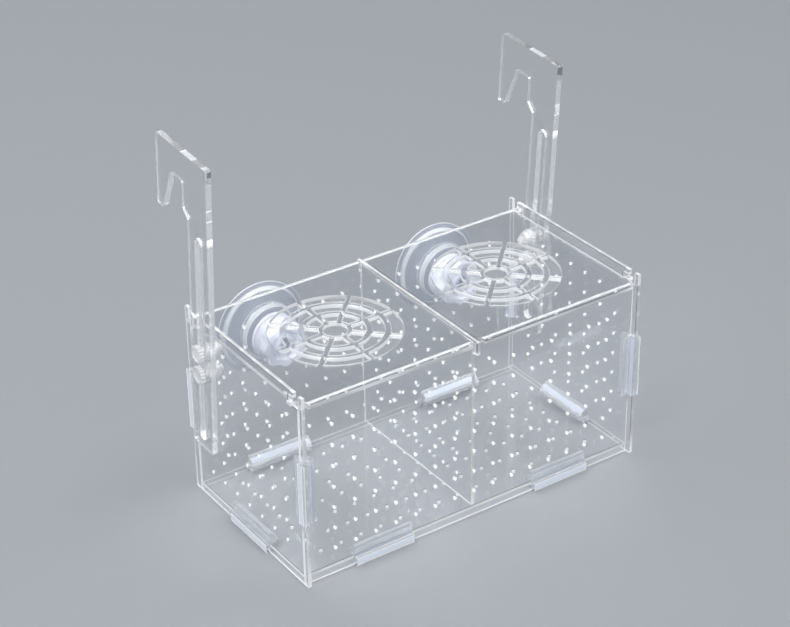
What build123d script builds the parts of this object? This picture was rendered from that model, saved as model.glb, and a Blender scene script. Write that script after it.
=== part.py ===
from build123d import *
import os

# Fish breeding box of clear acrylic sheet, in millimetres.
# +X runs along the box, +Y points to the back (the tank glass), +Z points up.
# The parts are drawn from the middle of the box at the lower edge of its walls, and moved
# at the end so that the origin is the middle of the whole footprint at its lowest face.

# Box
SHEET = 2.0            # thickness of every wall, lid, floor and divider
BOX_LENGTH = 200.0     # over the outer faces of the side panels
BOX_DEPTH = 106.0      # front edge to back edge of a side panel
BOX_HEIGHT = 106.0     # height of a side panel
LIP = 3.0              # walls stand this far past the panel that meets them
LID_DROP = 5.0         # top of the lids below the top of the side panels

# Fits
SLIDE_GAP = 0.3        # round a piece that lifts or slides past a sheet
REST_GAP = 0.1         # under a piece that rests on an edge or is clamped to a face
CLIP_FIT = 0.05        # between a clip and the sheet in its channel
RUNNING_FIT = 0.05     # radial, between a thread and what turns on it

# Perforations, drawn with four sides to keep the file light
PITCH = 11.7
PERFORATION = 2.0      # corner to corner
PERFORATION_SIDES = 4
COLUMNS = 15           # along the front
ROWS = 7               # up a wall, and across a side panel

# L-shaped slots in the top corners of the side panels, and the lugs of the lids
EAR = 3.0              # wall left at the corner
ENTRY = 4.0            # open mouth that a lug drops into
POCKET = 4.5           # length of the part under the nose
POCKET_HEIGHT = 4.5
LUG_WIDTH = 3.2
LUG_REACH = 1.3        # past the outer face of the side panel
LUG_SLACK = 0.9        # left in the front pocket behind the front lug
LID_SHORT = 4.0        # lids end this far before the back edge of the side panels
RELIEF = 2.3           # step at the front corners of a lid

# Round vent of a lid, drawn with many short sides to keep the file light
VENT_INSET = 1.2       # vent centre from the lid's middle, towards the divider
FEED_HOLE = 12.4
RINGS = ((8.2, 15.0), (18.0, 24.0), (27.0, 33.0))
SPOKE = 2.5
SPOKE_LINES = 4        # each line makes two spokes
VENT_SIDES = 48        # a whole number of sides between two spokes

# Divider
DIVIDER_EAR = 7.0      # height of the ears that hang in the slots
FRONT_EAR = 2.7        # reach past the front panel
BACK_EAR = 0.8         # reach past the back panel

# Corner clips
CLIP_LENGTH = 34.0
CLIP_WALL = 1.2
CLIP_OUTER = 4.6       # reach of the outer wall along the gripped sheet
CLIP_FLANGE = 5.0      # reach along the sheet that meets it
CLIP_NECK = 1.0        # web that passes through the notch
CLIP_LAND = 1.2        # flat left beside the slanted inner face
PAIR_INSET = 46.0      # middles of the lower clips and the cups, in from the sides

# Hanging hooks
HOOK_SHEET = 3.2
HOOK_WIDTH = 46.5
HOOK_LENGTH = 160.5
SHANK = 18.0
PRONG = 38.5           # from the top to the tip of the prong
PRONG_TIP = 5.0        # width of the tip
GAP_TOP = 15.8         # from the top of the hook to the top of the rim gap
GAP_NEAR = 22.3        # front side of the gap, from the front edge of the hook
GAP_FAR = 33.2         # back side of the gap at its top
STEP = 29.5            # from the top to the shoulder below the gap
HOOK_SLOT = 6.0
SLOT_TOP = 40.0        # from the top of the hook
SLOT_END = 4.5         # sheet left below the slot
HOOK_HANG = 110.4      # from the top of the hook to the middle of its two screws
HOOK_LEAN = 3.8        # degrees, top towards the front

# Thumb screws and nuts
SCREW_BACK = 19.3      # screws in from the back edge of the side panel
SCREW_TOP = 22.6       # middle of the two screws below the top of the side panel
SCREW_SPACING = 11.7
THREAD = 5.0
HEAD = 9.2
HEAD_THICK = 2.6
RIBS = 16
SCREW_TIP = 9.9        # end of the screw from the outer face of the side panel
NUT_FLANGE = 9.4
NUT_FLANGE_THICK = 2.4
NUT_HEX = 7.0          # across flats
NUT_HEX_THICK = 2.6

# Suction cups
CUP_DROP = 31.0        # axis below the top of the side panels
CUP_RIM = 50.0         # diameter of the lip that holds the glass
CUP_BASE = 30.0        # diameter of the shoulder against the back panel
CUP_LENGTH = 11.0      # shoulder to rim
CUP_SHOULDER = 1.6
CUP_SKIN = 2.0
STEM = 7.0
STEM_LENGTH = 12.0     # inside the box
KNOB = 26.0            # over its lobes
KNOB_LOBES = 8
KNOB_GROOVE = 1.8      # depth between two lobes
KNOB_LENGTH = 13.0
KNOB_RECESS = 15.0
KNOB_RECESS_SIDES = 12
KNOB_RECESS_DEPTH = 3.0

# Places that follow from the sizes above
LID_DEPTH = BOX_DEPTH - LID_SHORT
CUP_HEIGHT = BOX_HEIGHT - CUP_DROP
SIDE_X = BOX_LENGTH / 2
INNER_X = SIDE_X - SHEET
FRONT_Y = -BOX_DEPTH / 2
PANEL_Y = FRONT_Y + LIP                # outer face of the front panel
INNER_Y = PANEL_Y + SHEET
LID_TOP = BOX_HEIGHT - LID_DROP
WALL_TOP = LID_TOP - SHEET - REST_GAP  # top edge of the front and back panels
FLOOR_TOP = LIP + SHEET
SLOT_FLOOR = WALL_TOP - SLIDE_GAP + REST_GAP
FRONT_LUG = FRONT_Y + EAR + ENTRY + POCKET - LUG_SLACK - LUG_WIDTH
SCREW_Y = BOX_DEPTH / 2 - SCREW_BACK
SCREW_MID = BOX_HEIGHT - SCREW_TOP
SCREW_HEIGHTS = (SCREW_MID + SCREW_SPACING / 2, SCREW_MID - SCREW_SPACING / 2)
HOOK_FACE = SIDE_X + REST_GAP + HOOK_SHEET
SCREW_HOLE = THREAD / 2 + SLIDE_GAP
STEM_HOLE = STEM / 2 + SLIDE_GAP
NOTCH = CLIP_NECK + 2 * CLIP_FIT
NOTCH_LENGTH = CLIP_LENGTH + 2 * CLIP_FIT
PAIR_X = (PAIR_INSET - SIDE_X, SIDE_X - PAIR_INSET)
WALL_MIDDLE = BOX_HEIGHT / 2


def patch(x0, x1, y0, y1):
    """Rectangle between two corners of a sketch."""
    return Pos((x0 + x1) / 2, (y0 + y1) / 2) * Rectangle(x1 - x0, y1 - y0)


def perforations(columns, rows, x, y, keep_clear=(), clear=0.0):
    """Grid of small holes round (x, y), without those near the points in keep_clear."""
    hole = RegularPolygon(PERFORATION / 2, PERFORATION_SIDES)
    grid = Pos(x, y) * GridLocations(PITCH, PITCH, columns, rows)
    centres = [place.position for place in grid]
    kept = [c for c in centres if all((c - Vector(*k)).length > clear for k in keep_clear)]
    return Sketch() + [Pos(c.X, c.Y) * hole for c in kept]


def corner_slot():
    """L-shaped slot at the front top corner of a side panel, seen in the YZ plane."""
    mouth = patch(FRONT_Y + EAR, FRONT_Y + EAR + ENTRY, SLOT_FLOOR, BOX_HEIGHT + SHEET)
    pocket_end = FRONT_Y + EAR + ENTRY + POCKET
    pocket = patch(FRONT_Y + EAR, pocket_end, SLOT_FLOOR, SLOT_FLOOR + POCKET_HEIGHT)
    return mouth + pocket


def side_panel(side):
    """Left (-1) or right (1) wall, with a slot for a lug in each top corner."""
    screws = [(SCREW_Y, z) for z in SCREW_HEIGHTS]
    face = patch(FRONT_Y, -FRONT_Y, 0, BOX_HEIGHT)
    face -= corner_slot() + mirror(corner_slot(), Plane.YZ)
    face -= Sketch() + [Pos(*p) * Circle(SCREW_HOLE) for p in screws]
    face -= perforations(ROWS, ROWS, 0, WALL_MIDDLE, screws, SCREW_HOLE + PERFORATION)
    inner = Plane.YZ.offset(side * INNER_X)
    return extrude(inner * face, amount=side * SHEET)


def long_panel_face():
    """Front or back wall, seen in the XZ plane, with notches for clips and the ear slot."""
    face = patch(-INNER_X, INNER_X, 0, WALL_TOP)
    half_slot = SHEET / 2 + SLIDE_GAP
    face -= patch(-half_slot, half_slot, LID_TOP - DIVIDER_EAR - SLIDE_GAP, BOX_HEIGHT)
    for x in (-INNER_X, INNER_X):
        face -= Pos(x, WALL_MIDDLE) * Rectangle(2 * NOTCH, NOTCH_LENGTH)
    return face


def front_panel():
    """Front wall, with its rows of holes."""
    face = long_panel_face() - perforations(COLUMNS, ROWS, 0, WALL_TOP / 2)
    return extrude(Plane.XZ.offset(-PANEL_Y) * face, amount=-SHEET)


def back_panel():
    """Back wall, with the holes of the two suction cups."""
    face = long_panel_face() - [Pos(x, CUP_HEIGHT) * Circle(STEM_HOLE) for x in PAIR_X]
    return extrude(Plane.XZ.offset(PANEL_Y) * face, amount=SHEET)


def bottom_panel():
    """Raised floor, notched at its edges for the lower clips."""
    face = patch(-INNER_X, INNER_X, INNER_Y, -INNER_Y)
    for x in PAIR_X:
        for y in (INNER_Y, -INNER_Y):
            face -= Pos(x, y) * Rectangle(NOTCH_LENGTH, 2 * NOTCH)
    for x in (-INNER_X, INNER_X):
        face -= Pos(x, 0) * Rectangle(2 * NOTCH, NOTCH_LENGTH)
    return extrude(Plane.XY.offset(LIP) * face, amount=SHEET)


def divider():
    """Middle wall, hung in the slots of the front and back panels by its two ears."""
    body_y = INNER_Y + SLIDE_GAP
    face = patch(body_y, -body_y, FLOOR_TOP + REST_GAP, LID_TOP)
    face += patch(PANEL_Y - FRONT_EAR, body_y, LID_TOP - DIVIDER_EAR, LID_TOP)
    face += patch(-body_y, -PANEL_Y + BACK_EAR, LID_TOP - DIVIDER_EAR, LID_TOP)
    return extrude(Plane.YZ.offset(-SHEET / 2) * face, amount=SHEET)


def vent():
    """Feeding hole and three rings of curved slots, parted by straight spokes."""
    reach = 2 * RINGS[-1][1] + SPOKE
    spokes = [Rot(0, 0, 180 * i / SPOKE_LINES) * Rectangle(reach, SPOKE) for i in range(SPOKE_LINES)]
    rings = Sketch()
    for inner, outer in RINGS:
        rings += RegularPolygon(outer, VENT_SIDES) - RegularPolygon(inner, VENT_SIDES)
    return rings - spokes + RegularPolygon(FEED_HOLE / 2, VENT_SIDES)


def lid_left():
    """Left lid with two lugs on its outer edge; the right lid is its mirror image."""
    outer_x = -INNER_X + SLIDE_GAP
    inner_x = -SHEET / 2 - SLIDE_GAP
    back_lug = FRONT_Y + LID_DEPTH - LUG_WIDTH
    face = patch(outer_x, inner_x, FRONT_Y, FRONT_Y + LID_DEPTH)
    for x in (outer_x, inner_x):
        face -= patch(x - RELIEF, x + RELIEF, FRONT_Y, FRONT_Y + LIP)
    for y in (FRONT_LUG, back_lug):
        face += patch(-SIDE_X - LUG_REACH, outer_x, y, y + LUG_WIDTH)
    middle = (outer_x + inner_x) / 2 + VENT_INSET
    face -= Pos(middle, FRONT_Y + LID_DEPTH / 2) * vent()
    return extrude(Plane.XY.offset(LID_TOP) * face, amount=-SHEET)


def clip_profile():
    """Section of a corner clip.

    The gripped sheet lies at 0 < x < SHEET with its edge at y = 0. The sheet that meets it
    starts at y = LIP, and the neck passes through the notch in its edge.
    """
    near = SHEET + CLIP_FIT
    low = LIP - CLIP_FIT
    high = LIP + SHEET + CLIP_FIT
    reach = near + CLIP_FLANGE
    web = -CLIP_FIT - CLIP_NECK
    shape = patch(-CLIP_FIT - CLIP_WALL, -CLIP_FIT, web, CLIP_OUTER)
    shape += patch(-CLIP_FIT - CLIP_WALL, near + CLIP_WALL, web, -CLIP_FIT)
    shape += patch(near, near + CLIP_WALL, web, low)
    shape += patch(near, reach, low - CLIP_WALL, low)
    shape += patch(near, near + CLIP_NECK, low, high)
    wedge = Polyline(
        (near, high),
        (reach, high),
        (reach, high + CLIP_LAND),
        (near + CLIP_LAND, high + CLIP_FLANGE),
        (near, high + CLIP_FLANGE),
        close=True,
    )
    return shape + make_face(wedge)


def clip(origin, inward, along):
    """One clip: inward is the way into the box through the gripped sheet."""
    frame = Plane(origin=origin, x_dir=inward, z_dir=along)
    return extrude(frame * clip_profile(), amount=CLIP_LENGTH / 2, both=True)


def clips():
    """The ten clips by name: four upright, four under the long walls, two under the sides."""
    made = {}
    for side, x in (("left", -SIDE_X), ("right", SIDE_X)):
        turn = 1 if x < 0 else -1
        made[f"clip_{side}_front"] = clip((x, FRONT_Y, WALL_MIDDLE), (turn, 0, 0), (0, 0, turn))
        made[f"clip_{side}_back"] = clip((x, -FRONT_Y, WALL_MIDDLE), (turn, 0, 0), (0, 0, -turn))
        made[f"clip_{side}_bottom"] = clip((x, 0, 0), (turn, 0, 0), (0, -turn, 0))
    for side, x in zip(("left", "right"), PAIR_X):
        made[f"clip_front_{side}"] = clip((x, PANEL_Y, 0), (0, 1, 0), (1, 0, 0))
        made[f"clip_rear_{side}"] = clip((x, -PANEL_Y, 0), (0, -1, 0), (-1, 0, 0))
    return made


def hook(side):
    """Flat hook that hangs on the rim of the tank; its slot rides on two thumb screws."""
    axis = SHANK / 2
    shoulder = GAP_NEAR - SHANK
    outline = Polyline(
        (0, 0),
        (HOOK_WIDTH, 0),
        (HOOK_WIDTH, -PRONG),
        (HOOK_WIDTH - PRONG_TIP, -PRONG),
        (GAP_FAR, -GAP_TOP),
        (GAP_NEAR, -GAP_TOP),
        (GAP_NEAR, -STEP),
        (SHANK, -STEP - shoulder),
        (SHANK, -HOOK_LENGTH),
        (0, -HOOK_LENGTH),
        close=True,
    )
    face = make_face(outline)
    slot_bottom = HOOK_LENGTH - SLOT_END
    slot = SlotOverall(slot_bottom - SLOT_TOP, HOOK_SLOT, rotation=90)
    face -= Pos(axis, -(SLOT_TOP + slot_bottom) / 2) * slot
    hung = Pos(SCREW_Y, SCREW_MID) * Rot(0, 0, HOOK_LEAN) * Pos(-axis, HOOK_HANG) * face
    inner = Plane.YZ.offset(side * (SIDE_X + REST_GAP))
    return extrude(inner * hung, amount=side * HOOK_SHEET)


def screw(side, height):
    """Thumb screw: ribbed head outside the hook, and a plain thread that ends in the box."""
    axis = Plane(origin=(side * (HOOK_FACE + REST_GAP), SCREW_Y, height), z_dir=(side, 0, 0))
    head = extrude(axis * RegularPolygon(HEAD / 2, RIBS), amount=HEAD_THICK)
    length = HOOK_FACE + REST_GAP - (SIDE_X - SCREW_TIP)
    shank = extrude(axis * Circle(THREAD / 2), amount=-length)
    return head + shank


def nut(side, height):
    """Ribbed flange nut on the inner face of the side panel."""
    seat = side * (INNER_X - REST_GAP)
    axis = Plane(origin=(seat, SCREW_Y, height), z_dir=(-side, 0, 0))
    flange = extrude(axis * RegularPolygon(NUT_FLANGE / 2, RIBS), amount=NUT_FLANGE_THICK)
    tall = NUT_FLANGE_THICK + NUT_HEX_THICK
    hexagon = extrude(axis * RegularPolygon(NUT_HEX / 2, 6, major_radius=False), amount=tall)
    bore = extrude(axis * Circle(THREAD / 2 + RUNNING_FIT), amount=tall)
    return flange + hexagon - bore


def suction_cup(x):
    """Soft cup behind the back panel, with the stem that passes through the panel."""
    base = CUP_BASE / 2
    rim = CUP_RIM / 2
    inside = -SHEET - STEM_LENGTH
    crown = CUP_SHOULDER + CUP_SKIN
    outline = Polyline(
        (0, inside),
        (STEM / 2, inside),
        (STEM / 2, REST_GAP),
        (base, REST_GAP),
        (base, CUP_SHOULDER),
        (rim, CUP_LENGTH),
        (rim - CUP_SKIN, CUP_LENGTH),
        (base - CUP_SKIN, crown),
        (0, crown),
        close=True,
    )
    turned = revolve(Plane.XY * make_face(outline), Axis.Y)
    return Pos(x, -PANEL_Y, CUP_HEIGHT) * turned


def knob_outline():
    """Corners of the knob's grip: two on every lobe and two in every groove."""
    corners = []
    for i in range(4 * KNOB_LOBES):
        radius = KNOB / 2 if i % 4 < 2 else KNOB / 2 - KNOB_GROOVE
        corners.append(Vector(radius, 0).rotate(Axis.Z, 360 * i / (4 * KNOB_LOBES)))
    return corners


def cup_knob(x):
    """Lobed knob that pulls the cup against the back panel from inside the box."""
    axis = Plane(origin=(x, -INNER_Y - REST_GAP, CUP_HEIGHT), z_dir=(0, -1, 0))
    grip = make_face(Polyline(*knob_outline(), close=True))
    body = extrude(axis * grip, amount=KNOB_LENGTH)
    body -= extrude(axis * Circle(STEM / 2 + RUNNING_FIT), amount=KNOB_LENGTH)
    mouth = axis.offset(KNOB_LENGTH - KNOB_RECESS_DEPTH)
    recess = mouth * RegularPolygon(KNOB_RECESS / 2, KNOB_RECESS_SIDES)
    return body - extrude(recess, amount=KNOB_RECESS_DEPTH)


def build():
    """Every piece by name."""
    pieces = {
        "front_panel": front_panel(),
        "back_panel": back_panel(),
        "bottom_panel": bottom_panel(),
        "divider": divider(),
        "lid_left": lid_left(),
        "lid_right": mirror(lid_left(), Plane.YZ),
    }
    pieces.update(clips())
    for name, side in (("left", -1), ("right", 1)):
        pieces[f"side_panel_{name}"] = side_panel(side)
        pieces[f"hook_{name}"] = hook(side)
        pieces[f"suction_cup_{name}"] = suction_cup(PAIR_X[(side + 1) // 2])
        pieces[f"cup_knob_{name}"] = cup_knob(PAIR_X[(side + 1) // 2])
        for level, height in zip(("upper", "lower"), SCREW_HEIGHTS):
            pieces[f"screw_{name}_{level}"] = screw(side, height)
            pieces[f"nut_{name}_{level}"] = nut(side, height)
    return pieces


def main():
    """Write one file for each piece, about the middle of the footprint."""
    os.makedirs("parts", exist_ok=True)
    pieces = build()
    boxes = [piece.bounding_box() for piece in pieces.values()]
    front = min(box.min.Y for box in boxes)
    back = max(box.max.Y for box in boxes)
    origin = Vector(0, (front + back) / 2, min(box.min.Z for box in boxes))
    print("origin in the drawing frame", origin)
    for name, piece in pieces.items():
        export_step(Pos(-origin) * piece, f"parts/{name}.step")


main()
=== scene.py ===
# %% [markdown]
# # Dressing a clear fish breeding box
#
# The box hangs in a tank and keeps young fish apart. It is made of laser-cut acrylic sheet,
# extruded corner clips, two slotted hooks, thumb screws with ribbed nuts, and soft suction cups.
# The solids of every piece are packed already, at their real size. This script gives each one the
# form and finish that is seen from a step away: small round perforations, glassy cut edges,
# moulded ribs, threads and soft vinyl.

import math

import bmesh
import bpy
from mathutils import Matrix, Vector


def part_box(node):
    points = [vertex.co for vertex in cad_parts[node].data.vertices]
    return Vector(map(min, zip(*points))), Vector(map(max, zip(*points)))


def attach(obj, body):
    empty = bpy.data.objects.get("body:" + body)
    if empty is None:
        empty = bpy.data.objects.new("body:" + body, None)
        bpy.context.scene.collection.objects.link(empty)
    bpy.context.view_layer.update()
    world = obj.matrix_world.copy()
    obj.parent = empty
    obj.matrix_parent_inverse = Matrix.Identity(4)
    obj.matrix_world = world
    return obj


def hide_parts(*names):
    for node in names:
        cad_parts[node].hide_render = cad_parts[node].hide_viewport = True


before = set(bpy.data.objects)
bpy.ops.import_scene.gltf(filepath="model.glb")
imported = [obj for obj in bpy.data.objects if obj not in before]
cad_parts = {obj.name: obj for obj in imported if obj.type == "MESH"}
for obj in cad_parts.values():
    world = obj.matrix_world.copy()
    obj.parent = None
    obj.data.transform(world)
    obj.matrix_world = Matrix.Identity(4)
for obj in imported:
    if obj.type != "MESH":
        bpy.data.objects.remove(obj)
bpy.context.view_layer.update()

MM = 0.001
X, Y, Z = 0, 1, 2

# %% [markdown]
# ## Camera
#
# The picture of the real box was taken from the left front corner, some thirty degrees above it,
# with a long lens. The place of the camera could be found by trial, but a fit to the corners of
# the box is exact: it gives a place, a point that the camera looks at, a small roll and a focal
# length. Only these four values are needed, so nothing is shifted or cropped.

# %% Place the camera
CAMERA_AT = Vector((-0.5090, -0.7400, 0.60795))
LOOKS_AT = Vector((-0.0142, -0.00912, 0.09965))
ROLL = math.radians(-0.83)
PICTURE_WIDTH = 790
FOCAL_PIXELS = 2082.5
SENSOR = 36.0

camera_data = bpy.data.cameras.new("camera")
camera_data.sensor_width = SENSOR
camera_data.lens = SENSOR * FOCAL_PIXELS / PICTURE_WIDTH
camera_data.clip_start = 0.05
camera = bpy.data.objects.new("camera", camera_data)
bpy.context.scene.collection.objects.link(camera)
aim = (LOOKS_AT - CAMERA_AT).to_track_quat("-Z", "Y").to_matrix().to_4x4()
camera.matrix_world = Matrix.Translation(CAMERA_AT) @ aim @ Matrix.Rotation(ROLL, 4, "Z")
bpy.context.scene.camera = camera
print("lens", round(camera_data.lens, 1), "mm")

# %% [markdown]
# ## Stage and light
#
# Clear sheet is seen by its edges, so what is behind it matters more than on a painted thing. A
# white floor would swallow the bright edges and a black one isn't a plain studio. A pale grey
# floor that rises into a backdrop leaves both the bright cut edges and the darker refracted
# ones in view. The light is a plain even sky and three large soft lamps.

# %% Floor and backdrop
FLOOR_GREY = (0.295, 0.307, 0.325, 1.0)
FLOOR_ROUGHNESS = 0.85


def plain_material(name, colour, roughness):
    """A matt material of one colour."""
    material = bpy.data.materials.new(name)
    material.use_nodes = True
    shader = material.node_tree.nodes["Principled BSDF"]
    shader.inputs["Base Color"].default_value = colour
    shader.inputs["Roughness"].default_value = roughness
    return material


def make_floor():
    """A wide sheet that lies flat under the box and curves up far behind it."""
    half, flat, radius, top, steps = 6.0, 2.6, 1.2, 6.0, 24
    section = [(-half, 0.0), (flat, 0.0)]
    for i in range(1, steps + 1):
        turn = math.pi / 2 * i / steps
        section.append((flat + radius * math.sin(turn), radius * (1 - math.cos(turn))))
    section.append((flat + radius, top))
    away = (LOOKS_AT - CAMERA_AT).xy.normalized()
    across = Vector((-away.y, away.x))
    points, faces = [], []
    for depth, height in section:
        for side in (-half, half):
            place = away * depth + across * side
            points.append((place.x, place.y, height))
    for i in range(len(section) - 1):
        faces.append((2 * i, 2 * i + 2, 2 * i + 3, 2 * i + 1))
    mesh = bpy.data.meshes.new("floor")
    mesh.from_pydata(points, [], faces)
    mesh.shade_smooth()
    mesh.materials.append(plain_material("studio floor", FLOOR_GREY, FLOOR_ROUGHNESS))
    floor = bpy.data.objects.new("floor", mesh)
    bpy.context.scene.collection.objects.link(floor)


make_floor()
print("floor and backdrop made")

# %% Sky and lamps
SKY = (0.80, 0.84, 0.90, 1.0)
SKY_STRENGTH = 0.74
LAMPS = {
    # name: (place, size, watts), each aimed at the middle of the box
    "key": ((-1.1, -0.7, 1.6), 0.9, 21.0),
    "side": ((1.15, -0.46, 1.55), 0.9, 9.0),
    "back": ((0.0, 1.25, 1.7), 0.9, 13.5),
}

world = bpy.data.worlds.new("sky")
bpy.context.scene.world = world
world.use_nodes = True
world.node_tree.nodes["Background"].inputs["Color"].default_value = SKY
world.node_tree.nodes["Background"].inputs["Strength"].default_value = SKY_STRENGTH

for name, (place, size, watts) in LAMPS.items():
    data = bpy.data.lights.new(name, "AREA")
    data.shape = "DISK"
    data.size = size
    data.energy = watts
    lamp = bpy.data.objects.new(name, data)
    lamp.location = place
    lamp.rotation_euler = (LOOKS_AT - Vector(place)).to_track_quat("-Z", "Y").to_euler()
    bpy.context.scene.collection.objects.link(lamp)
bpy.context.scene.view_settings.view_transform = "Standard"
print("lamps", ", ".join(LAMPS))

# %% [markdown]
# ## Materials
#
# Everything here is clear or nearly so, but not alike. The faces of the sheet are polished; the
# laser leaves its cut edges finely striped, and their glow, light caught in the sheet, is painted
# in as a whiter, partly matt colour; the sharp corner line between the two catches most light, and
# that highlight is painted in as almost opaque white, as is the glint of the small hole walls. The
# clips are a milky extrusion, the cups and knobs a bluish soft vinyl.
# Each is a Principled shader with real transmission, so that light bends in it as in the real
# thing, with noise in Object coordinates to break the roughness and the surface a little. A
# Transparent shader takes over for shadow rays, which stands in for the light that thin clear
# sheet lets through to the floor.

# %% Shared parts of a material
DRAWN_OUT = 0.04

def node(tree, kind, inputs=None, **settings):
    """Adds a node, sets its options, and fills or links its inputs."""
    made = tree.nodes.new(kind)
    for key, value in settings.items():
        setattr(made, key, value)
    for socket, value in (inputs or {}).items():
        if isinstance(value, bpy.types.NodeSocket):
            tree.links.new(value, made.inputs[socket])
        else:
            made.inputs[socket].default_value = value
    return made


def noise(tree, scale, detail=3.0, stretch=(1.0, 1.0, 1.0)):
    """Noise in Object coordinates, stretched along the axes."""
    place = node(tree, "ShaderNodeTexCoord").outputs["Object"]
    mapped = node(tree, "ShaderNodeMapping", {"Vector": place, "Scale": stretch})
    return node(tree, "ShaderNodeTexNoise",
                {"Vector": mapped.outputs["Vector"], "Scale": scale, "Detail": detail})


def span(tree, value, low, high):
    """Stretches a value between 0 and 1 to low and high."""
    made = node(tree, "ShaderNodeMapRange", {"Value": value, "To Min": low, "To Max": high})
    return made.outputs["Result"]


def clear_material(name, colour, transmission, roughness, bump, ior, shadow, along=None):
    """Clear plastic: roughness is a pair, bump is (noise scale, height in mm), shadow is the
    share of lamp light that is let straight through. Along an axis, if one is given, the relief
    is drawn out to lines."""
    material = bpy.data.materials.new(name)
    material.use_nodes = True
    tree = material.node_tree
    shader = tree.nodes["Principled BSDF"]
    shader.inputs["Base Color"].default_value = (*colour, 1.0)
    shader.inputs["IOR"].default_value = ior
    shader.inputs["Transmission Weight"].default_value = transmission
    uneven = noise(tree, 60.0)
    tree.links.new(span(tree, uneven.outputs["Fac"], *roughness), shader.inputs["Roughness"])
    scale, height = bump
    stretch = [DRAWN_OUT if axis == along else 1.0 for axis in (X, Y, Z)]
    relief = noise(tree, scale, stretch=stretch)
    bumped = node(tree, "ShaderNodeBump",
                  {"Height": relief.outputs["Fac"], "Distance": height * MM, "Strength": 1.0})
    tree.links.new(bumped.outputs["Normal"], shader.inputs["Normal"])
    through = node(tree, "ShaderNodeBsdfTransparent")
    path = node(tree, "ShaderNodeLightPath")
    share = node(tree, "ShaderNodeMath", {0: path.outputs["Is Shadow Ray"], 1: shadow},
                 operation="MULTIPLY")
    mixed = node(tree, "ShaderNodeMixShader",
                 {0: share.outputs[0], 1: shader.outputs[0], 2: through.outputs[0]})
    tree.links.new(mixed.outputs[0], tree.nodes["Material Output"].inputs["Surface"])
    return material


# %% The finishes
SHEET_FACE = clear_material("polished acrylic", (0.985, 0.992, 1.0), 1.0, (0.0, 0.03),
                            (25.0, 0.004), 1.49, 0.92)
# The stripes of the laser run across the sheet, so there is one edge for each direction.
# The whiter, partly matt colour of these edges is painted glow, in place of light caught in the clear
# sheet; the stripes and roughness are the real cut.
SHEET_EDGES_PAINTED_GLOW = [clear_material(f"laser cut edge with painted glow across {axis}", (0.98, 0.99, 1.0), 0.42,
                              (0.10, 0.26), (900.0, 0.012), 1.49, 0.75, along)
               for along, axis in enumerate("xyz")]
# The hook edges also carry a matt white share that is painted glow; they are polished, so the share is
# smaller.
HOOK_EDGE_PAINTED_GLOW = clear_material("polished hook edge with painted glow", (0.98, 0.99, 1.0), 0.74, (0.03, 0.12),
                           (900.0, 0.012), 1.49, 0.75, X)
# The bevelled corner lines of sheets and clips are almost opaque white: a painted highlight along every
# edge.
ARRIS_PAINTED_HIGHLIGHT = clear_material("painted highlight on sheet corners", (1.0, 1.0, 1.0), 0.05, (0.15, 0.30),
                             (900.0, 0.004), 1.49, 0.5)
# The hole walls are almost opaque white: a painted highlight that gives the small holes their glints.
HOLE_WALL_PAINTED_GLINT = clear_material("hole wall painted white for glints", (1.0, 1.0, 1.0), 0.15, (0.20, 0.40),
                           (1500.0, 0.01), 1.49, 0.5)
# The die leaves faint lines along an extrusion.
CLIP_CLEAR = [clear_material(f"clip extrusion along {axis}", (0.95, 0.97, 1.0), 0.80,
                             (0.04, 0.14), (1500.0, 0.01), 1.50, 0.7, along)
              for along, axis in enumerate("xyz")]
CLIP_MILKY = [clear_material(f"milky clip wall along {axis}", (0.87, 0.92, 1.0), 0.12,
                             (0.16, 0.30), (1500.0, 0.02), 1.50, 0.5, along)
              for along, axis in enumerate("xyz")]
CLIP_INNER = [clear_material(f"clip flange along {axis}", (0.83, 0.89, 1.0), 0.45,
                             (0.12, 0.24), (1500.0, 0.02), 1.50, 0.6, along)
              for along, axis in enumerate("xyz")]
CUP_FINISH = clear_material("soft cup vinyl", (0.86, 0.90, 0.98), 0.90, (0.01, 0.06),
                            (120.0, 0.02), 1.53, 0.7)
CUP_THICK = clear_material("thick cup vinyl", (0.95, 0.97, 1.0), 0.35, (0.05, 0.14),
                           (150.0, 0.02), 1.53, 0.6)
KNOB_FINISH = clear_material("soft knob vinyl", (0.90, 0.925, 1.0), 0.50, (0.03, 0.10),
                             (150.0, 0.02), 1.53, 0.6)
SCREW_FINISH = clear_material("clear moulded screw", (0.98, 0.99, 1.0), 0.66, (0.0, 0.04),
                              (300.0, 0.01), 1.49, 0.6)
print("finishes", [m.name for m in bpy.data.materials])

# %% [markdown]
# ## Sheets cut with Geometry Nodes
#
# Ten pieces are cut from flat sheet, and the clips are lengths of one section, which is the same
# thing seen end on. Each could be modelled by hand, but they all follow one rule: an outline,
# perhaps a grid of perforations, and a thickness. So one tree makes them all. The outline is
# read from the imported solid, which keeps notches, slots and vents where they belong; the grid of
# holes, whose round form is finer than the solid's, is added by the tree, which leaves out a
# hole that would come too near an edge.

# %% Helpers for Geometry Nodes
BEVEL_FROM = math.radians(50)

def new_tree(name, inputs):
    """An empty Geometry Nodes tree with one geometry in, one out, and named inputs."""
    tree = bpy.data.node_groups.new(name, "GeometryNodeTree")
    tree.interface.new_socket("Geometry", in_out="INPUT", socket_type="NodeSocketGeometry")
    for label, kind in inputs.items():
        tree.interface.new_socket(label, in_out="INPUT", socket_type=f"NodeSocket{kind}")
    tree.interface.new_socket("Geometry", in_out="OUTPUT", socket_type="NodeSocketGeometry")
    start = tree.nodes.new("NodeGroupInput")
    end = tree.nodes.new("NodeGroupOutput")
    return tree, start.outputs, end.inputs


def maths(tree, operation, *values):
    """Output of a Math node on one to three values."""
    return node(tree, "ShaderNodeMath", dict(enumerate(values)), operation=operation).outputs[0]


def repaint(piece, finish, chosen):
    """Gives a finish to the faces that pass a test."""
    if finish not in list(piece.data.materials):
        piece.data.materials.append(finish)
    number = list(piece.data.materials).index(finish)
    for face in piece.data.polygons:
        if chosen(face):
            face.material_index = number


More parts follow.
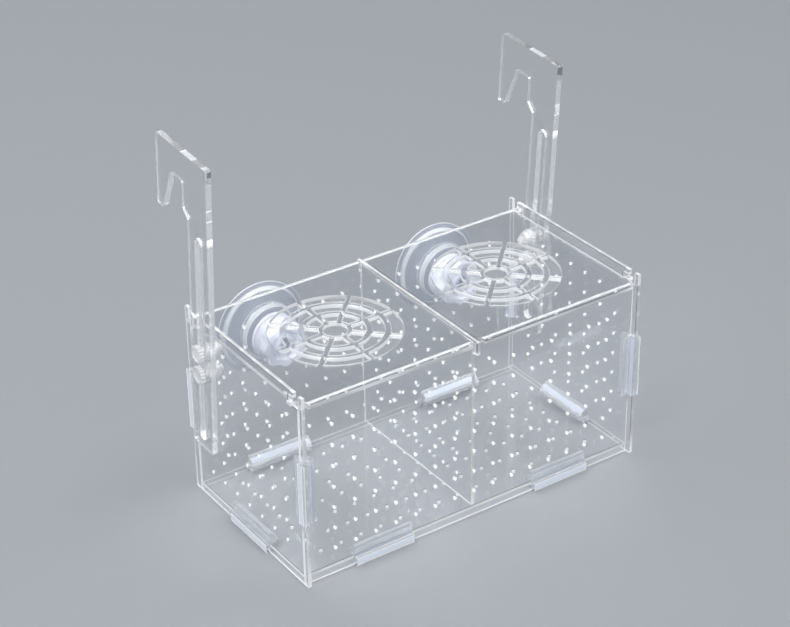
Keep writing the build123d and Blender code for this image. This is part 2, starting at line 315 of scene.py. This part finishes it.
def grow(name, mesh, tree, values, bevel=None):
    """Runs a tree on a mesh and returns the result as a plain object. bevel is (width in
    millimetres, segments, finish)."""
    seed = bpy.data.objects.new(name, mesh)
    bpy.context.scene.collection.objects.link(seed)
    modifier = seed.modifiers.new("made", "NODES")
    modifier.node_group = tree
    sockets = {item.name: item.identifier for item in tree.interface.items_tree
               if item.item_type == "SOCKET" and item.in_out == "INPUT"}
    for label, value in values.items():
        modifier[sockets[label]] = value
    if bevel:
        rounding = seed.modifiers.new("rounding", "BEVEL")
        rounding.width = bevel[0] * MM
        rounding.segments = bevel[1]
        rounding.limit_method = "ANGLE"
        rounding.angle_limit = BEVEL_FROM
        mesh_now = seed.evaluated_get(bpy.context.evaluated_depsgraph_get()).data
        rounding.material = [m.name for m in mesh_now.materials].index(bevel[2].name)
        rounding.use_clamp_overlap = True
    graph = bpy.context.evaluated_depsgraph_get()
    plain = bpy.data.meshes.new_from_object(seed.evaluated_get(graph))
    plain.name = name
    bpy.data.objects.remove(seed)
    made = bpy.data.objects.new(name, plain)
    bpy.context.scene.collection.objects.link(made)
    return made


# %% The tree that cuts a sheet
CORNER_STEPS = 4
HOLE_STRIP = 0.45          # share of the radius that one side of a hole's polygon stays below

def sheet_tree():
    """Outline and perforations in the XY plane, filled and given a thickness along Z."""
    tree, given, result = new_tree("cut sheet", {
        "Columns": "Int", "Rows": "Int", "Pitch": "Float", "Centre": "Vector",
        "Hole radius": "Float", "Hole sides": "Int", "Least rim": "Float", "Corner": "Float",
        "Thickness": "Float", "Hole wall": "Material", "Face": "Material", "Edge": "Material",
        "Arris highlight": "Material"})
    pitch = given["Pitch"]
    width = maths(tree, "MULTIPLY", maths(tree, "SUBTRACT", given["Columns"], 1.0), pitch)
    height = maths(tree, "MULTIPLY", maths(tree, "SUBTRACT", given["Rows"], 1.0), pitch)
    grid = node(tree, "GeometryNodeMeshGrid",
                {"Size X": width, "Size Y": height,
                 "Vertices X": given["Columns"], "Vertices Y": given["Rows"]})
    centred = node(tree, "GeometryNodeSetPosition",
                   {"Geometry": grid.outputs["Mesh"], "Offset": given["Centre"]})
    near = node(tree, "GeometryNodeProximity", {0: given["Geometry"]}, target_element="EDGES")
    too_near = node(tree, "FunctionNodeCompare",
                    {"A": near.outputs["Distance"], "B": given["Least rim"]},
                    data_type="FLOAT", operation="LESS_THAN")
    kept = node(tree, "GeometryNodeDeleteGeometry",
                {"Geometry": centred.outputs[0], "Selection": too_near.outputs[0]}, domain="POINT")
    hole = node(tree, "GeometryNodeCurvePrimitiveCircle",
                {"Resolution": given["Hole sides"], "Radius": given["Hole radius"]})
    holes = node(tree, "GeometryNodeInstanceOnPoints",
                 {"Points": kept.outputs[0], "Instance": hole.outputs["Curve"]})
    real_holes = node(tree, "GeometryNodeRealizeInstances", {"Geometry": holes.outputs[0]})
    sharp = node(tree, "GeometryNodeMeshToCurve", {"Mesh": given["Geometry"]})
    outline = node(tree, "GeometryNodeFilletCurve",
                   {"Curve": sharp.outputs[0], "Radius": given["Corner"], "Count": CORNER_STEPS,
                    "Limit Radius": True}, mode="POLY")
    lines = node(tree, "GeometryNodeJoinGeometry")
    tree.links.new(real_holes.outputs[0], lines.inputs[0])
    tree.links.new(outline.outputs[0], lines.inputs[0])
    face = node(tree, "GeometryNodeFillCurve", {"Curve": lines.outputs[0]})
    raised = node(tree, "GeometryNodeExtrudeMesh",
                  {"Mesh": face.outputs[0], "Offset Scale": given["Thickness"],
                   "Individual": False}, mode="FACES")
    faced = node(tree, "GeometryNodeSetMaterial",
                 {"Geometry": raised.outputs["Mesh"], "Material": given["Face"]})
    edged = node(tree, "GeometryNodeSetMaterial",
                 {"Geometry": faced.outputs[0], "Selection": raised.outputs["Side"],
                  "Material": given["Edge"]})
    # Narrow side faces are the walls of the holes, which get the painted glint white.
    area = node(tree, "GeometryNodeInputMeshFaceArea").outputs[0]
    strip = maths(tree, "MULTIPLY", given["Hole radius"], given["Thickness"])
    narrow = maths(tree, "LESS_THAN", area, maths(tree, "MULTIPLY", strip, HOLE_STRIP))
    of_hole = node(tree, "FunctionNodeBooleanMath", {0: raised.outputs["Side"], 1: narrow},
                   operation="AND")
    painted_glint_walls = node(tree, "GeometryNodeSetMaterial",
                   {"Geometry": edged.outputs[0], "Selection": of_hole.outputs[0],
                    "Material": given["Hole wall"]})
    under = node(tree, "GeometryNodeFlipFaces", {"Mesh": face.outputs[0]})
    under_faced = node(tree, "GeometryNodeSetMaterial",
                       {"Geometry": under.outputs[0], "Material": given["Face"]})
    both = node(tree, "GeometryNodeJoinGeometry")
    tree.links.new(under_faced.outputs[0], both.inputs[0])
    tree.links.new(painted_glint_walls.outputs[0], both.inputs[0])
    merged = node(tree, "GeometryNodeMergeByDistance",
                  {"Geometry": both.outputs[0], "Distance": 0.01 * MM})
    real = node(tree, "GeometryNodeRealizeInstances", {"Geometry": merged.outputs[0]})
    # The painted arris highlight only gets a material slot here; the bevel puts it on the corner lines.
    never = node(tree, "FunctionNodeInputBool", boolean=False)
    last = node(tree, "GeometryNodeSetMaterial",
                {"Geometry": real.outputs[0], "Selection": never.outputs[0],
                 "Material": given["Arris highlight"]})
    tree.links.new(last.outputs[0], result["Geometry"])
    return tree


CUT_SHEET = sheet_tree()
print("tree", CUT_SHEET.name, "with", len(CUT_SHEET.nodes), "nodes")

# %% [markdown]
# ## Reading an outline from a solid
#
# The flat side of a packed sheet is a patch of loose triangles. Once its doubles are merged, the
# edges that only one triangle of that side uses are the outline and the rims of the openings.
# Loops smaller than a few millimetres are the solid's own plain perforations, which are left out
# because the tree makes rounder ones.

# %% Outline of a sheet
SAME_PLACE = 1e-6
SMALL_LOOP = 3.0 * MM


def loops_of(edges):
    """Closed loops of points walked along the edges."""
    ways = {}
    for a, b in edges:
        ways.setdefault(a, []).append(b)
        ways.setdefault(b, []).append(a)
    loops, seen = [], set()
    for start in ways:
        if start in seen:
            continue
        loop, last, here = [start], None, start
        while True:
            seen.add(here)
            onward = [p for p in ways[here] if p != last]
            last, here = here, onward[0]
            if here == start or here in seen:
                break
            loop.append(here)
        loops.append(loop)
    return loops


def flat_side(name, axis):
    """Loops round a node's low side across an axis, that side's place, and the thickness."""
    bm = bmesh.new()
    bm.from_mesh(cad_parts[name].data)
    bmesh.ops.remove_doubles(bm, verts=bm.verts, dist=SAME_PLACE)
    bm.verts.index_update()
    low = min(v.co[axis] for v in bm.verts)
    high = max(v.co[axis] for v in bm.verts)
    side = {f for f in bm.faces if all(abs(v.co[axis] - low) < 10 * SAME_PLACE for v in f.verts)}
    edges = [tuple(v.index for v in e.verts) for e in bm.edges
             if sum(f in side for f in e.link_faces) == 1]
    bm.verts.ensure_lookup_table()
    across, up = (axis + 1) % 3, (axis + 2) % 3
    loops = [[Vector((bm.verts[i].co[across], bm.verts[i].co[up])) for i in loop]
             for loop in loops_of(edges)]
    bm.free()
    return [loop for loop in loops if reach(loop) > SMALL_LOOP], low, high - low


def reach(loop):
    """Longer side of a loop's box."""
    return max(max(p[k] for p in loop) - min(p[k] for p in loop) for k in (0, 1))


def wires(name, loops):
    """A flat mesh of closed loops."""
    points, lines = [], []
    for loop in loops:
        first = len(points)
        points += [(p[0], p[1], 0.0) for p in loop]
        lines += [(first + i, first + (i + 1) % len(loop)) for i in range(len(loop))]
    mesh = bpy.data.meshes.new(name + " outline")
    mesh.from_pydata(points, lines, [])
    return mesh


def stand_up(axis, low):
    """Matrix that takes the XY plane to the plane across an axis at its low side."""
    turned = Matrix.Identity(4)
    for row in range(3):
        for column in range(3):
            turned[row][column] = 1.0 if row == (axis + 1 + column) % 3 else 0.0
    shift = Vector((0.0, 0.0, 0.0))
    shift[axis] = low
    return Matrix.Translation(shift) @ turned


def cut_sheet(name, axis, body, grid=None, change=None, corner=0.0, finish=None,
              bevel=(0.16, 1)):
    """Makes a sheet piece in place of its node. grid is (columns, rows, centre), change is a
    function that alters the loops, corner is the radius that their corners get."""
    loops, low, thick = flat_side(name, axis)
    if change:
        loops = change(loops)
    columns, rows, centre = grid or (0, 0, (0.0, 0.0))
    face, edge, arris_highlight = finish or (SHEET_FACE, SHEET_EDGES_PAINTED_GLOW[axis], ARRIS_PAINTED_HIGHLIGHT)
    piece = grow(name + "_cut", wires(name, loops), CUT_SHEET, {
        "Columns": columns, "Rows": rows, "Pitch": PITCH, "Centre": (*centre, 0.0),
        "Hole radius": HOLE_RADIUS, "Hole sides": HOLE_SIDES, "Least rim": LEAST_RIM,
        "Corner": corner * MM, "Thickness": thick, "Hole wall": HOLE_WALL_PAINTED_GLINT, "Face": face,
        "Edge": edge, "Arris highlight": arris_highlight}, (*bevel, arris_highlight))
    piece.data.transform(stand_up(axis, low))
    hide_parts(name)
    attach(piece, body)
    return piece


# %% [markdown]
# ## Walls, floor, divider and lids
#
# The walls carry a regular grid of small holes that let water through: fifteen across the long
# sides and the floor, seven across the short ones. The lids have only their round vents.

# %% Cut the sheets
PITCH = 11.7 * MM
HOLE_RADIUS = 0.80 * MM    # before its rims are rounded off
HOLE_SIDES = 16
LEAST_RIM = 2.0 * MM
LONG, SHORT = 15, 7
HOOK_CORNER = 1.0


def middle(name, axis):
    """Centre of a node's box in the plane across an axis."""
    low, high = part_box(name)
    centre = (low + high) / 2
    return centre[(axis + 1) % 3], centre[(axis + 2) % 3]


side_middle = middle("side_panel_left", X)
cut_sheet("front_panel", Y, "box", (SHORT, LONG, middle("front_panel", Y)))
cut_sheet("back_panel", Y, "box", (SHORT, LONG, middle("back_panel", Y)))
cut_sheet("bottom_panel", Z, "box", (LONG, SHORT, middle("bottom_panel", Z)))
cut_sheet("side_panel_left", X, "box", (SHORT, SHORT, side_middle))
cut_sheet("side_panel_right", X, "box", (SHORT, SHORT, side_middle))
cut_sheet("divider", X, "divider", (SHORT, SHORT, side_middle))
for side in ("left", "right"):
    cut_sheet(f"hook_{side}", X, f"hook_{side}", corner=HOOK_CORNER,
              finish=(SHEET_FACE, HOOK_EDGE_PAINTED_GLOW, ARRIS_PAINTED_HIGHLIGHT), bevel=(0.28, 1))
print("walls, floor, divider and hooks cut")

# %% [markdown]
# ## Vents of the lids
#
# Each lid has a feeding hole in the middle of three rings of curved slots. A laser cuts them as
# true arcs between straight spokes of one width, so a slot's corners lie where the spoke's side
# meets the ring. That is a formula: at a radius r, half a spoke covers the angle whose sine is
# half its width over r.

# %% Cut the lids
RINGS = ((8.2, 15.0), (18.0, 24.0), (27.0, 33.0))
FEED_RADIUS = 6.2
SPOKE = 2.5
SPOKES = 8
SLOT_STEPS = 12


def arc(centre, radius, start, end, steps):
    """Points along an arc, angles in radians."""
    turns = [start + (end - start) * i / steps for i in range(steps + 1)]
    return [centre + Vector((math.cos(t), math.sin(t))) * radius * MM for t in turns]


def vent(loops):
    """The outline of a lid, with its plain vent drawn anew in true arcs."""
    outline = max(loops, key=reach)
    slots = [sum(loop, Vector((0.0, 0.0))) / len(loop) for loop in loops if loop is not outline]
    centre = sum(slots, Vector((0.0, 0.0))) / len(slots)
    drawn = [outline, arc(centre, FEED_RADIUS, 0.0, 2 * math.pi, 48)[:-1]]
    for inner, outer in RINGS:
        for i in range(SPOKES):
            first, last = (2 * math.pi * (i + k) / SPOKES for k in (0, 1))
            near, far = (math.asin(SPOKE / 2 / r) for r in (inner, outer))
            drawn.append(arc(centre, inner, first + near, last - near, SLOT_STEPS)
                         + arc(centre, outer, last - far, first + far, SLOT_STEPS))
    return drawn


for side in ("left", "right"):
    cut_sheet(f"lid_{side}", Z, f"lid_{side}", change=vent)
print("lids cut")

# %% [markdown]
# ## Corner clips
#
# A clip is pushed over the edge of one sheet and its neck holds the next. It is cut from one long
# extrusion, whose broad faces have shallow grooves where a finger pushes. The grooves are added
# to the outline of the end, so that they run through the whole clip as the die makes them.

# %% Cut the clips to length
GROOVES_AT = (0.18, 0.82)  # shares of a broad face's width
BROAD = 3.4                # mm, narrower faces stay plain
GROOVE_HALF, GROOVE_DEEP = 0.3, 0.12
FACING = 0.8
BAND_AREA = 50.0           # mm2, less than the broad band between two grooves
END_RIM = 0.3              # part of a normal along the clip, met only at its two ends


def grooved(loops):
    """Outline of a clip's end with small V grooves along its broad faces."""
    loop = loops[0]
    ends = list(zip(loop, loop[1:] + loop[:1]))
    turn = 1.0 if sum(a.x * b.y - b.x * a.y for a, b in ends) > 0.0 else -1.0
    drawn = []
    for a, b in ends:
        drawn.append(a)
        if (b - a).length < BROAD * MM:
            continue
        way = (b - a).normalized()
        inward = Vector((-way.y, way.x)) * turn
        for share in GROOVES_AT:
            middle_of = a.lerp(b, share)
            drawn += [middle_of - way * GROOVE_HALF * MM, middle_of + inward * GROOVE_DEEP * MM,
                      middle_of + way * GROOVE_HALF * MM]
    return [drawn]


CLIPS = {
    # name: (way it runs, sheet that it grips, axis and way out of the box)
    "clip_left_front": (Z, "side_panel_left", X, -1),
    "clip_left_back": (Z, "side_panel_left", X, -1),
    "clip_left_bottom": (Y, "side_panel_left", X, -1),
    "clip_right_front": (Z, "side_panel_right", X, 1),
    "clip_right_back": (Z, "side_panel_right", X, 1),
    "clip_right_bottom": (Y, "side_panel_right", X, 1),
    "clip_front_left": (X, "front_panel", Y, -1),
    "clip_front_right": (X, "front_panel", Y, -1),
    "clip_rear_left": (X, "back_panel", Y, 1),
    "clip_rear_right": (X, "back_panel", Y, 1),
}
for name, (along, gripped, axis, way) in CLIPS.items():
    clear = CLIP_CLEAR[along]
    clip = cut_sheet(name, along, "box", change=grooved,
                     finish=(clear, clear, ARRIS_PAINTED_HIGHLIGHT), bevel=(0.16, 1))
    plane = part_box(gripped)[(1 + way) // 2][axis]
    repaint(clip, CLIP_MILKY[along], lambda face: way * (face.center[axis] - plane) > 0.0
            and way * face.normal[axis] > FACING and face.area > BAND_AREA * MM ** 2)
    repaint(clip, clear, lambda face: way * (face.center[axis] - plane) < 0.0
            and abs(face.normal[along]) < END_RIM)
    repaint(clip, CLIP_INNER[along], lambda face: way * (face.center[axis] - plane) < 0.0
            and way * face.normal[axis] < -END_RIM and face.area > BAND_AREA * MM ** 2)
print(len(CLIPS), "clips cut")

# %% [markdown]
# ## One lathe for cups, knobs, screws and nuts
#
# All of these are moulded round an axis. A lathe of Geometry Nodes takes a profile, which is a
# row of points with the radius in X and the height in Z, and lays a grid round the axis. Three
# rules change the radius on the way: ribs, a thread, and flats. Ribs are a wave round the axis,
# the thread is a wave that climbs by one pitch a turn, and flats keep the radius inside a
# polygon, which gives a hexagon with the curved corners of a real nut. Each rule works only
# between two heights.

# %% The lathe
SEAM = 0.001 * MM


def within(tree, value, low, high):
    """One between two limits, else zero."""
    return maths(tree, "MULTIPLY", maths(tree, "GREATER_THAN", value, low),
                 maths(tree, "LESS_THAN", value, high))


def lathe_tree():
    """Turns a profile round Z, with ribs, a thread and flats."""
    names = ("Rib depth", "Rib shape", "Rib radius", "Rib from", "Rib to", "Pitch",
             "Thread depth", "Thread from", "Thread to", "Flat reach", "Flat from", "Flat to")
    inputs = {"Steps": "Int", "Ribs": "Int", "Flats": "Int"}
    inputs.update({label: "Float" for label in names})
    tree, given, result = new_tree("lathe", {**inputs, "Finish": "Material"})
    size = node(tree, "GeometryNodeAttributeDomainSize", {"Geometry": given["Geometry"]},
                component="MESH")
    ring = maths(tree, "ADD", given["Steps"], 1.0)
    grid = node(tree, "GeometryNodeMeshGrid",
                {"Vertices X": size.outputs["Point Count"], "Vertices Y": ring})
    index = node(tree, "GeometryNodeInputIndex").outputs[0]
    row = maths(tree, "FLOOR", maths(tree, "DIVIDE", maths(tree, "ADD", index, 0.5), ring))
    column = maths(tree, "SUBTRACT", index, maths(tree, "MULTIPLY", row, ring))
    turns = maths(tree, "DIVIDE", column, given["Steps"])
    angle = maths(tree, "MULTIPLY", turns, 2 * math.pi)
    place = node(tree, "GeometryNodeInputPosition").outputs[0]
    point = node(tree, "GeometryNodeSampleIndex", {"Geometry": given["Geometry"], "Index": row},
                 data_type="FLOAT_VECTOR", domain="POINT")
    tree.links.new(place, point.inputs["Value"])
    split = node(tree, "ShaderNodeSeparateXYZ", {0: point.outputs[0]})
    radius, height = split.outputs["X"], split.outputs["Z"]

    wave = maths(tree, "COSINE", maths(tree, "MULTIPLY", angle, given["Ribs"]))
    groove = maths(tree, "MULTIPLY_ADD", wave, -0.5, 0.5)
    groove = maths(tree, "POWER", groove, given["Rib shape"])
    ribbed = maths(tree, "MULTIPLY", within(tree, height, given["Rib from"], given["Rib to"]),
                   maths(tree, "GREATER_THAN", radius, given["Rib radius"]))
    rib_cut = maths(tree, "MULTIPLY", maths(tree, "MULTIPLY", groove, given["Rib depth"]), ribbed)

    climb = maths(tree, "SUBTRACT", maths(tree, "DIVIDE", height, given["Pitch"]), turns)
    saw = maths(tree, "ABSOLUTE", maths(tree, "MULTIPLY_ADD", maths(tree, "FRACT", climb), 2.0, -1.0))
    threaded = within(tree, height, given["Thread from"], given["Thread to"])
    thread_cut = maths(tree, "MULTIPLY", maths(tree, "MULTIPLY", saw, given["Thread depth"]),
                       threaded)
    cut = maths(tree, "SUBTRACT", maths(tree, "SUBTRACT", radius, rib_cut), thread_cut)

    sector = maths(tree, "DIVIDE", 2 * math.pi, given["Flats"])
    half = maths(tree, "MULTIPLY", sector, 0.5)
    turned = maths(tree, "FLOORED_MODULO", maths(tree, "ADD", angle, half), sector)
    flat = maths(tree, "DIVIDE", given["Flat reach"],
                 maths(tree, "COSINE", maths(tree, "SUBTRACT", turned, half)))
    free = maths(tree, "SUBTRACT", 1.0, within(tree, height, given["Flat from"], given["Flat to"]))
    last = maths(tree, "MINIMUM", cut, maths(tree, "ADD", flat, free))

    shaped = node(tree, "ShaderNodeCombineXYZ",
                  {"X": maths(tree, "MULTIPLY", last, maths(tree, "COSINE", angle)),
                   "Y": maths(tree, "MULTIPLY", last, maths(tree, "SINE", angle)), "Z": height})
    moved = node(tree, "GeometryNodeSetPosition",
                 {"Geometry": grid.outputs["Mesh"], "Position": shaped.outputs[0]})
    closed = node(tree, "GeometryNodeMergeByDistance",
                  {"Geometry": moved.outputs[0], "Distance": SEAM})
    real = node(tree, "GeometryNodeRealizeInstances", {"Geometry": closed.outputs[0]})
    finished = node(tree, "GeometryNodeSetMaterial",
                    {"Geometry": real.outputs[0], "Material": given["Finish"]})
    tree.links.new(finished.outputs[0], result["Geometry"])
    return tree


LATHE = lathe_tree()
SMOOTH_BELOW = math.radians(38)


def turn_piece(name, profile, place, body, finish, steps, ribs=None, thread=None,
               flats=None):
    """Makes a round piece in place of its node. profile has (radius, height) in millimetres;
    place takes the axis Z to its place. ribs is (count, depth, shape, least radius, from, to),
    thread is (pitch, depth, from, to), flats is (count, reach, from, to)."""
    mesh = bpy.data.meshes.new(name + " profile")
    mesh.from_pydata([(r * MM, 0.0, z * MM) for r, z in profile], [], [])
    count, depth, shape, least, low, high = ribs or (0, 0.0, 1.0, 0.0, 0.0, 0.0)
    pitch, cut, start, end = thread or (1.0, 0.0, 0.0, 0.0)
    sides, span_of, flat_from, flat_to = flats or (6, 0.0, 0.0, 0.0)
    piece = grow(name + "_turned", mesh, LATHE, {
        "Steps": steps, "Ribs": count, "Rib depth": depth * MM, "Rib shape": shape,
        "Rib radius": least * MM, "Rib from": low * MM, "Rib to": high * MM,
        "Pitch": pitch * MM, "Thread depth": cut * MM, "Thread from": start * MM,
        "Thread to": end * MM, "Flats": sides, "Flat reach": span_of * MM,
        "Flat from": flat_from * MM, "Flat to": flat_to * MM, "Finish": finish})
    bm = bmesh.new()
    bm.from_mesh(piece.data)
    bmesh.ops.recalc_face_normals(bm, faces=bm.faces)
    bm.to_mesh(piece.data)
    bm.free()
    piece.data.transform(place)
    piece.data.shade_smooth()
    piece.data.set_sharp_from_angle(angle=SMOOTH_BELOW)
    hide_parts(name)
    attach(piece, body)
    return piece


def bend(start, control, end, steps=5):
    """Points along a curve that leaves start towards control and reaches end from it."""
    made = []
    for i in range(steps + 1):
        t = i / steps
        made.append(tuple((1 - t) ** 2 * a + 2 * t * (1 - t) * c + t ** 2 * b
                          for a, c, b in zip(start, control, end)))
    return made


def on_axis(name, axis, way, offset):
    """Matrix that takes Z to an axis of a node's box, in one of its two ways. The origin lies
    offset millimetres past the end that the axis points away from."""
    low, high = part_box(name)
    origin = (Vector(low) + Vector(high)) / 2
    origin[axis] = (low[axis] if way > 0 else high[axis]) + way * offset * MM
    direction = Vector((0.0, 0.0, 0.0))
    direction[axis] = way
    turned = direction.to_track_quat("Z", "Y").to_matrix().to_4x4()
    return Matrix.Translation(origin) @ turned


print("lathe with", len(LATHE.nodes), "nodes")

# %% [markdown]
# ## Suction cups
#
# A cup is soft clear vinyl. A broad shoulder lies against the back panel; behind it the bell
# opens, ends in a thick ring, and goes on as a thin lip that seals on the tank's glass. The lip
# has fine radial lines, which let it slide out flat. A ringed stem passes through the panel.

# %% Make the cups
STEM_END = 14.0            # from the shoulder's plane to the end of the stem
STEM_RINGS = 5
THICK_PARTS = ((13.2, 15.1), (21.2, 22.4), (24.5, 25.1))    # radii of shoulder, ring, lip


def cup_profile():
    """Stem, shoulder, bell, thick ring and lip, then back along the hollow."""
    stem = [(0.0, -14.0), (1.6, -14.0)] + bend((2.4, -14.0), (3.2, -14.0), (3.2, -13.2))
    for i in range(STEM_RINGS):
        low = -12.8 + 1.8 * i
        stem += bend((3.1, low), (3.75, low + 0.4), (3.1, low + 1.4), 4)
    shoulder = [(3.4, -3.2), (3.4, 0.1)] + bend((14.4, 0.1), (15.0, 0.1), (15.0, 0.7))
    shoulder += bend((15.0, 1.2), (15.0, 1.7), (14.4, 1.8), 3)
    bell = bend((14.2, 2.0), (15.4, 5.0), (20.4, 7.4), 12)
    ring = bend((20.8, 7.5), (22.1, 7.7), (22.1, 8.8), 5) + [(22.2, 9.3)]
    lip = bend((22.5, 9.6), (23.4, 10.2), (24.6, 10.5), 6)
    lip += bend((24.8, 10.55), (25.0, 10.7), (24.9, 11.0), 3)
    hollow = [(23.6, 10.95)] + bend((22.4, 10.7), (21.4, 10.4), (20.8, 9.7), 4)
    hollow += bend((20.2, 9.0), (15.4, 5.6), (8.0, 4.1), 12) + [(4.0, 3.7), (0.0, 3.6)]
    return stem + shoulder + bell + ring + lip + hollow


for side in ("left", "right"):
    name = f"suction_cup_{side}"
    place = on_axis(name, Y, 1, STEM_END)
    cup = turn_piece(name, cup_profile(), place, "box", CUP_FINISH, steps=360,
                     ribs=(90, 0.12, 1.0, 22.3, 9.4, 10.9))
    axis_at = place.translation
    for inner, outer in THICK_PARTS:
        repaint(cup, CUP_THICK, lambda face: inner * MM < math.hypot(
            face.center.x - axis_at.x, face.center.z - axis_at.z) < outer * MM)
    print(cup.name, len(cup.data.polygons), "faces")

# %% [markdown]
# ## Knobs of the cups
#
# Each cup is pulled tight from inside the box by a fat knob with eight lobes. Its front is
# hollow, with a raised collar round the bore in which the stem ends.

# %% Make the knobs
KNOB_LENGTH = 13.0


def knob_profile():
    """From the bore along the back, up the drum and over the rim, then down into the recess."""
    back = [(3.75, 0.0)] + bend((11.8, 0.0), (12.9, 0.0), (12.9, 1.0)) + [(12.9, 1.7)]
    drum = bend((12.9, 2.6), (11.6, 2.8), (11.6, 4.4), 6) + [(11.6, 6.4)]
    rim = bend((11.8, 7.4), (12.9, 7.6), (13.0, 8.8)) + [(13.0, 10.4)]
    rim += bend((13.0, 11.8), (13.0, 13.0), (11.6, 13.0)) + [(9.8, 13.0)]
    recess = bend((8.8, 13.0), (8.3, 12.9), (8.1, 12.2)) + bend((7.9, 10.6), (7.8, 10.0), (7.0, 10.0))
    collar = bend((6.2, 10.0), (5.7, 10.0), (5.6, 10.7), 3) + bend((5.5, 11.4), (5.4, 12.0), (4.8, 12.0), 3)
    return back + drum + rim + recess + collar + [(4.0, 12.0), (3.75, 11.7), (3.75, 0.0)]


for side in ("left", "right"):
    knob = turn_piece(f"cup_knob_{side}", knob_profile(),
                      on_axis(f"cup_knob_{side}", Y, -1, 0.0), f"cup_knob_{side}",
                      KNOB_FINISH, steps=192, ribs=(8, 1.4, 1.0, 8.9, 6.9, KNOB_LENGTH + 1.0))
    print(knob.name, len(knob.data.polygons), "faces")

# %% [markdown]
# ## Thumb screws and nuts
#
# The hooks are held by moulded clear screws with ribbed heads. Their nuts have a ribbed flange for
# the fingers and a hexagon above it. The thread is a real one here, with a rounded tip.

# %% Make the screws and nuts
HEAD, HEAD_THICK, THREAD = 4.6, 2.6, 2.5     # radii and thickness
TIP_AT = -13.3
THREAD_PITCH, THREAD_DEPTH = 0.8, 0.38
FLANGE, FLANGE_THICK = 4.7, 2.4
HEX_CORNER, HEX_FLAT, NUT_THICK, BORE = 4.05, 3.5, 5.0, 2.55
RIBS = 16


def screw_profile():
    """Dished head, threaded shank and rounded tip."""
    head = [(0.0, HEAD_THICK - 0.5), (2.3, HEAD_THICK - 0.5)]
    head += bend((2.7, HEAD_THICK - 0.5), (3.0, HEAD_THICK - 0.4), (3.1, HEAD_THICK), 3)
    head += [(3.8, HEAD_THICK)] + bend((4.1, HEAD_THICK), (HEAD, HEAD_THICK), (HEAD, 2.1), 4)
    head += [(HEAD, 0.5)] + bend((HEAD, 0.3), (HEAD, 0.0), (4.2, 0.0), 3) + [(THREAD, 0.0)]
    turns = round((-0.4 - (TIP_AT + 2.2)) / THREAD_PITCH * 4)
    shank = [(THREAD, -0.4 - i * THREAD_PITCH / 4) for i in range(turns + 1)]
    tip = bend((2.3, TIP_AT + 2.0), (2.4, TIP_AT), (0.0, TIP_AT), 7)
    return head + shank + tip


def nut_profile():
    """Ribbed flange against the panel, and the hexagon above it."""
    flange = [(BORE, 0.0), (4.1, 0.0)] + bend((4.4, 0.0), (FLANGE, 0.0), (FLANGE, 0.4), 3)
    flange += [(FLANGE, FLANGE_THICK - 0.5)]
    flange += bend((FLANGE, FLANGE_THICK - 0.3), (FLANGE, FLANGE_THICK), (4.3, FLANGE_THICK), 3)
    top = [(HEX_CORNER, FLANGE_THICK + 0.05), (HEX_CORNER, NUT_THICK - 0.45), (3.4, NUT_THICK)]
    bore = [(BORE + 0.3, NUT_THICK), (BORE, NUT_THICK - 0.3), (BORE, 0.0)]
    return flange + top + bore


for side, way in (("left", -1), ("right", 1)):
    for level in ("upper", "lower"):
        screw, nut = f"screw_{side}_{level}", f"nut_{side}_{level}"
        turn_piece(screw, screw_profile(), on_axis(screw, X, way, -TIP_AT), screw,
                   SCREW_FINISH, steps=96, ribs=(RIBS, 0.5, 1.0, 3.9, 0.1, HEAD_THICK - 0.1),
                   thread=(THREAD_PITCH, THREAD_DEPTH, TIP_AT + 2.1, -0.35))
        turn_piece(nut, nut_profile(), on_axis(nut, X, -way, 0.0), nut,
                   SCREW_FINISH, steps=96, ribs=(RIBS, 0.45, 1.0, 4.2, 0.1, FLANGE_THICK - 0.1),
                   flats=(6, HEX_FLAT, FLANGE_THICK + 0.02, NUT_THICK + 0.1))
print("screws and nuts made")
